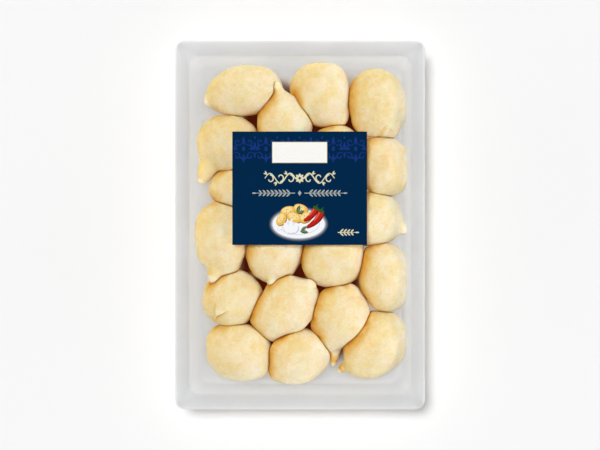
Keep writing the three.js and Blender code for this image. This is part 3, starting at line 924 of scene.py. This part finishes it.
def label_art():
    """Fields of colour, back to front, in millimetres from the label's centre."""
    W, L = LABEL_W / 2, LABEL_L / 2
    art = [(rect(-W, -L, W, L), NAVY)]

    def put(outlines, colour):
        for o in outlines:
            if np.abs(o[:, 0]).max() < W - 0.15 and np.abs(o[:, 1]).max() < L - 0.15:
                art.append((o, colour))

    # a band of scrollwork in a slightly lighter blue: palmettes between C-scrolls
    pitch = LABEL_W / 6
    for k in range(7):
        cx = (k - 3) * pitch
        for sgn in (1, -1):
            put([scroll(cx + sgn * 3.3, L - 6.2, 2.5, 1.2, -70, sgn < 0)], BLUE)
            put([scroll(cx + sgn * 2.7, L - 14.6, 2.6, 1.15, 100, sgn < 0)], BLUE)
            put([leaf(cx + sgn * 0.6, L - 10.6, 3.7, 1.25, 90 - sgn * 38)], BLUE)
            put([leaf(cx + sgn * 0.5, L - 10.8, 3.1, 1.1, 90 - sgn * 78)], BLUE)
        put([leaf(cx, L - 11.2, 5.2, 1.6, 90)], BLUE)
        put([leaf(cx, L - 12.2, 3.6, 1.2, -90)], BLUE)
        put([disc(cx, L - 3.6, 0.7, 0.7, n=10)], BLUE)
        mid = cx + pitch / 2
        put([leaf(mid, L - 3.0, 5.0, 1.7, -90)], BLUE)
        put([leaf(mid, L - 18.6, 5.4, 1.5, 90)], BLUE)
        put([disc(mid, L - 10.2, 1.0, 1.5, n=12)], BLUE)
        for sgn in (1, -1):
            put([leaf(mid + sgn * 0.5, L - 16.6, 2.9, 1.0, 90 - sgn * 48)], BLUE)
    # bare cream panel with a thin gold edge
    x0, x1, y0, y1 = -16.1, 16.1, L - 18.4, L - 6.4
    art.append((rect(x0 - 0.30, y0 - 0.30, x1 + 0.30, y1 + 0.30), GOLD))
    art.append((rect(x0, y0, x1, y1), CREAM))
    # in place of a title: a vine running both ways from a rosette
    put(vine(2.6, 5.9, 1, 3, 6.0, 2.9) + vine(-2.6, 5.9, -1, 3, 6.0, 2.9), PALE_GOLD)
    put(rosette(0, 5.9, 3.0, 8), PALE_GOLD)
    put([disc(0, 5.9, 0.75, 0.75, n=14)], NAVY)
    # in place of a second line: two leafy sprigs and a row of lozenges
    put(sprig(2.8, -2.9, 1, 24.0, 3.1, 8) + sprig(-2.8, -2.9, -1, 24.0, 3.1, 8), SILVER)
    put([disc(0, -2.9, 1.1, 1.6, n=4)], SILVER)
    # a round dish: potatoes heaped behind, garlic in front, peppers to the right
    cx, cy = -0.6, -19.8
    for k in range(5):
        art.append((disc(cx, cy - 1.4, 17.6 - k * 0.55, 10.4 - k * 0.5, n=56), blend_colour(NAVY, WHITE, (0.04, 0.12, 0.28, 0.58, 1.0)[k])))
    art.append((disc(cx, cy - 1.0, 12.6, 6.9, n=48), MILK))
    art.append((disc(cx, cy - 0.8, 12.2, 6.5, n=48), WHITE))
    # potatoes
    for x, y, rx, ry, rot in ((-6.4, 6.2, 4.6, 3.1, 18), (1.0, 7.6, 4.4, 3.0, -12), (-10.2, 1.6, 4.2, 2.9, 62), (-2.6, 2.6, 4.8, 3.2, -22), (4.2, 2.6, 4.4, 3.0, 30)):
        art.append((disc(cx + x + 0.25, cy + y - 0.40, rx, ry, rot, wobble=0.03), BROWN))
        art.append((disc(cx + x, cy + y, rx * 0.97, ry * 0.94, rot, wobble=0.03), YELLOW))
        art.append((disc(cx + x - 0.40, cy + y + 0.55, rx * 0.70, ry * 0.58, rot, n=20), PALE_YELLOW))
        for k in range(3):
            art.append((disc(cx + x + 1.5 * math.cos(2.1 * k + x), cy + y + 0.9 * math.sin(2.1 * k + x), 0.30, 0.24, n=8), BROWN))
    # two long red peppers with green stalks
    for x0, y0, x1, y1, x2, y2, w in ((13.4, 6.4, 12.2, 0.6, 4.6, -3.4, 4.4), (10.2, 8.2, 8.6, 3.2, 3.0, 0.6, 3.8)):
        t = np.linspace(0, 1, 16)
        path = np.stack([(1 - t) ** 2 * x0 + 2 * t * (1 - t) * x1 + t * t * x2, (1 - t) ** 2 * y0 + 2 * t * (1 - t) * y1 + t * t * y2], 1) + [cx, cy]
        wide = w * np.sqrt(np.clip(1 - (t * 0.97) ** 1.6, 0, 1)) * np.clip(0.55 + t * 4, 0, 1)
        art.append((ribbon(path + [0.2, -0.35], wide), DEEP_RED))
        art.append((ribbon(path + [-0.1, 0.15], wide * 0.80), RED))
        art.append((ribbon(path[2:10] + [-0.7, 0.5], wide[2:10] * 0.22), LIGHT_RED))
        art.append((disc(cx + x0, cy + y0 - 0.1, 1.9, 1.1, -25, n=16), GREEN))
        art.append((ribbon(np.array([[x0, y0], [x0 + 0.5, y0 + 1.1], [x0 + 1.3, y0 + 2.0]]) + [cx, cy], [0.8, 0.65, 0.6]), GREEN))
    # a garlic bulb with its cloves, and one clove by itself
    gx, gy = cx - 4.6, cy - 3.6
    art.append((disc(gx + 0.2, gy - 0.3, 4.7, 3.7, n=30), SHADE))
    art.append((disc(gx, gy, 4.6, 3.6, n=30), MILK))
    for x, rx in ((-2.7, 1.7), (0.0, 1.9), (2.7, 1.7)):
        art.append((disc(gx + x, gy - 0.1, rx * 0.86, 3.2, -x * 5, n=24), WHITE))
    art.append((ribbon(np.array([[0.0, 2.6], [0.2, 4.0], [0.9, 5.4]]) + [gx, gy], [2.4, 1.1, 0.9]), WHITE))
    art.append((disc(cx - 11.0, cy - 4.0, 2.0, 1.15, 28, n=20), MILK))
    art.append((disc(cx - 11.1, cy - 3.8, 1.6, 0.80, 28, n=18), WHITE))
    # sage
    for x, y, rot, size in ((-1.0, 5.0, 70, 5.0), (-0.6, 4.6, 24, 4.4), (0.8, -5.6, -10, 5.0), (1.4, -5.2, 34, 4.2)):
        art.append((leaf(cx + x, cy + y, size, size * 0.42, rot, n=12), GREEN))
        art.append((leaf(cx + x + 0.2, cy + y + 0.2, size * 0.86, size * 0.22, rot, n=10), SAGE))
    # a small sprig in the lower corner
    put(sprig(22.6, -26.2, 1, 10.6, 3.0, 4), PALE_GOLD)
    return art


def build_label(material):
    art = label_art()
    points, faces = [], []
    for outline, _ in art:
        x, y = outline[:, 0], outline[:, 1]
        if (x * np.roll(y, -1) - y * np.roll(x, -1)).sum() < 0:
            outline = outline[::-1]
        faces.append(list(range(len(points), len(points) + len(outline))))
        points.extend(Vector((float(x), float(y))) for x, y in outline)
    verts, _, tris, _, _, origin = delaunay_2d_cdt(points, [], faces, 1, 1e-5, True)
    z_low, z_top = TRAY_H + 0.62, TRAY_H + 0.74
    flat = np.array([(v.x, v.y) for v in verts])
    # the label follows the film's faint pull, a touch
    lift = noise3(np.stack([flat[:, 0] / 30, flat[:, 1] / 24, 0 * flat[:, 0]], 1), 3) * 0.05
    top = np.column_stack([flat[:, 0] + LABEL_X, flat[:, 1] + LABEL_Y, z_top + lift])
    low = top.copy()
    low[:, 2] -= z_top - z_low
    count = len(top)
    colours = []
    out_faces = []
    edges = {}
    for tri, owners in zip(tris, origin):
        if not owners:
            continue
        colour = art[max(owners)][1]
        out_faces.append(tuple(tri)); colours.append(colour)
        out_faces.append(tuple(i + count for i in reversed(tri))); colours.append(CREAM)
        for a, b in zip(tri, list(tri[1:]) + [tri[0]]):
            edges[a, b] = True
    for a, b in list(edges):
        if (b, a) not in edges:
            out_faces.append((a, a + count, b + count, b)); colours.append(CREAM)
    ob = make_object("label_print", np.concatenate([top, low]), out_faces, material, smooth=False)
    attr = ob.data.attributes.new("ink", "FLOAT_COLOR", "CORNER")
    data = np.ones((len(ob.data.loops), 4), np.float32)
    for poly, colour in zip(ob.data.polygons, colours):
        data[poly.loop_start:poly.loop_start + poly.loop_total, :3] = colour
    attr.data.foreach_set("color", data.ravel())
    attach(ob, "root")
    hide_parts("label")
    return ob


# ------------------------------------------------------- floor and lights --
def build_stage():
    verts, faces = loft([ring(1500, 1500, 300, -0.05, 6)], caps=False)
    floor = make_object("floor", verts, [tuple(range(len(verts)))], floor_material())
    # the lit part of the table, hidden under the tray's base
    steps = 8
    rings = [ring(72 - 9 * k / steps, 107 - 9 * k / steps, 10, -0.04, 6) + (1.6 * (1 - k / steps), -1.0 * (1 - k / steps), 0) for k in range(steps + 1)]
    verts, faces = loft(rings, caps=False)
    faces.append(tuple(range(len(verts) - len(rings[0]), len(verts))))
    pad = make_object("light_pad", verts, faces, pad_material())
    point_value(pad, "fade", smooth(np.repeat(np.arange(steps + 1) / steps, len(rings[0]))))
    if pad.data.polygons[0].normal.z < 0:
        pad.data.flip_normals()
    pad.visible_camera = False
    pad.visible_shadow = False
    world = bpy.data.worlds.new("studio")
    bpy.context.scene.world = world
    world.use_nodes = True
    tree = world.node_tree
    add, link = tree.nodes.new, tree.links.new
    axes = add("ShaderNodeSeparateXYZ")
    link(add("ShaderNodeTexCoord").outputs["Generated"], axes.inputs[0])
    # bright along the horizon, a little more on the upper left; dim overhead
    up = add("ShaderNodeMapRange")
    up.interpolation_type = "SMOOTHSTEP"
    for key, v in (("From Min", 0.05), ("From Max", 0.45), ("To Min", 1.60), ("To Max", 0.18)):
        up.inputs[key].default_value = v
    link(axes.outputs["Z"], up.inputs["Value"])
    slant = add("ShaderNodeMath")
    slant.operation = "SUBTRACT"
    link(axes.outputs["X"], slant.inputs[0])
    link(axes.outputs["Y"], slant.inputs[1])
    side = add("ShaderNodeMapRange")
    for key, v in (("From Min", -1.4), ("From Max", 1.4), ("To Min", 1.05), ("To Max", 0.97)):
        side.inputs[key].default_value = v
    link(slant.outputs[0], side.inputs["Value"])
    both = add("ShaderNodeMath")
    both.operation = "MULTIPLY"
    link(up.outputs["Result"], both.inputs[0])
    link(side.outputs["Result"], both.inputs[1])
    back = tree.nodes["Background"]
    back.inputs["Color"].default_value = (1.0, 1.0, 1.0, 1)
    link(both.outputs[0], back.inputs["Strength"])


def area_light(name, at, size, power, colour=(1, 1, 1), glossy=True):
    data = bpy.data.lights.new(name, "AREA")
    data.shape = "DISK"
    data.size = size
    data.energy = power
    data.color = colour
    ob = bpy.data.objects.new(name, data)
    ob.location = at
    ob.rotation_euler = (Vector((0, 0, 0.015)) - Vector(at)).to_track_quat("-Z", "Y").to_euler()
    ob.visible_glossy = glossy
    bpy.context.scene.collection.objects.link(ob)
    return ob


def build_camera():
    data = bpy.data.cameras.new("camera")
    data.lens = 100.0
    data.sensor_width = 36.0
    data.clip_start, data.clip_end = 0.05, 20.0
    ob = bpy.data.objects.new("camera", data)
    # 600 pixels span 355.8 mm on the flange's plane
    ob.location = (0.0, 0.0, TRAY_H * MM + 0.3558 * 100 / 36)
    bpy.context.scene.collection.objects.link(ob)
    bpy.context.scene.camera = ob


dough = dough_material()
for blob in blobs:
    dumpling_mesh(blob, dough)
build_tray(tray_material())
build_film(film_material())
build_label(label_material())
build_stage()
# a soft lamp nearly overhead, a touch to the upper left
sun = bpy.data.lights.new("overhead", "SUN")
sun.energy, sun.angle = 2.38, 0.30
lamp = bpy.data.objects.new("overhead", sun)
lamp.location = (-0.158, 0.186, 1.0)
lamp.rotation_euler = (-Vector(lamp.location)).to_track_quat("-Z", "Y").to_euler()
lamp.visible_glossy = False
bpy.context.scene.collection.objects.link(lamp)
# a broad soft box low on the right shapes the food
right = area_light("right", (1.05, -0.20, 0.62), 0.45, 6.8, (1.0, 0.965, 0.940), glossy=False)
# its light is flagged off the table and the tray
lit = bpy.data.collections.new("lit_from_right")
for ob in bpy.context.scene.objects:
    if ob.name.startswith("dough_"):
        lit.objects.link(ob)
right.light_linking.receiver_collection = lit
build_camera()

cycles = bpy.context.scene.cycles
cycles.max_bounces, cycles.diffuse_bounces, cycles.transparent_max_bounces = 12, 8, 12

view = bpy.context.scene.view_settings
view.view_transform = "Standard"
view.look = "None"
view.exposure = 0.0
view.gamma = 1.0

bpy.context.view_layer.update()
